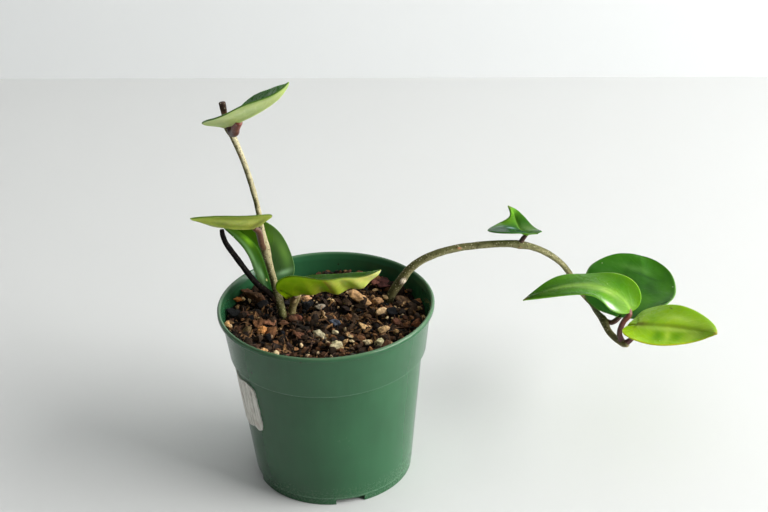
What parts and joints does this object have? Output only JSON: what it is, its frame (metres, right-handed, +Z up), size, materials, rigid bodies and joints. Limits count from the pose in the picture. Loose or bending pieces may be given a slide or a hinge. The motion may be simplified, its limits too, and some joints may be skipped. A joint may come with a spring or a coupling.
{
  "type": "potted hoya plant",
  "caption": "Small hoya plant with thick pointed leaves on bare stalks and a vine that arches out of a round plastic nursery pot; stands on a table as a house plant.",
  "frame": {"origin": "middle of the pot's underside, on the plane the pot stands on", "axes": "+Z up along the pot's axis; +X towards the side the long vine reaches out to; -Y towards the front"},
  "size_m": [0.2438, 0.1187, 0.2154],
  "materials": {
    "pot_plastic": "satin",
    "label_paper": "matte",
    "soil_mix": "matte",
    "stem_bark": "matte",
    "vine_bark": "matte",
    "shoot_dry": "matte",
    "leaf_blade": "satin",
    "leaf_dark": "satin",
    "leaf_stalk": "satin"
  },
  "bodies": {
    "root": {"pot": "pot_plastic", "label": "label_paper", "soil": "soil_mix", "stem_main": "stem_bark", "stem_short": "stem_bark", "vine": "vine_bark", "shoot_dark": "shoot_dry", "leaf_1_top": "leaf_blade", "leaf_2_middle": "leaf_blade", "leaf_3_back": "leaf_dark", "leaf_4_low": "leaf_blade", "leaf_5_young": "leaf_blade", "leaf_6_end_left": "leaf_blade", "leaf_7_end_back": "leaf_dark", "leaf_8_end_right": "leaf_blade", "stalk_1_top": "leaf_stalk", "stalk_2_middle": "leaf_stalk", "stalk_3_back": "leaf_stalk", "stalk_4_low": "leaf_stalk", "stalk_5_young": "leaf_stalk", "stalk_6_end_left": "leaf_stalk", "stalk_7_end_back": "leaf_stalk", "stalk_8_end_right": "leaf_stalk"}
  },
  "joints": []
}
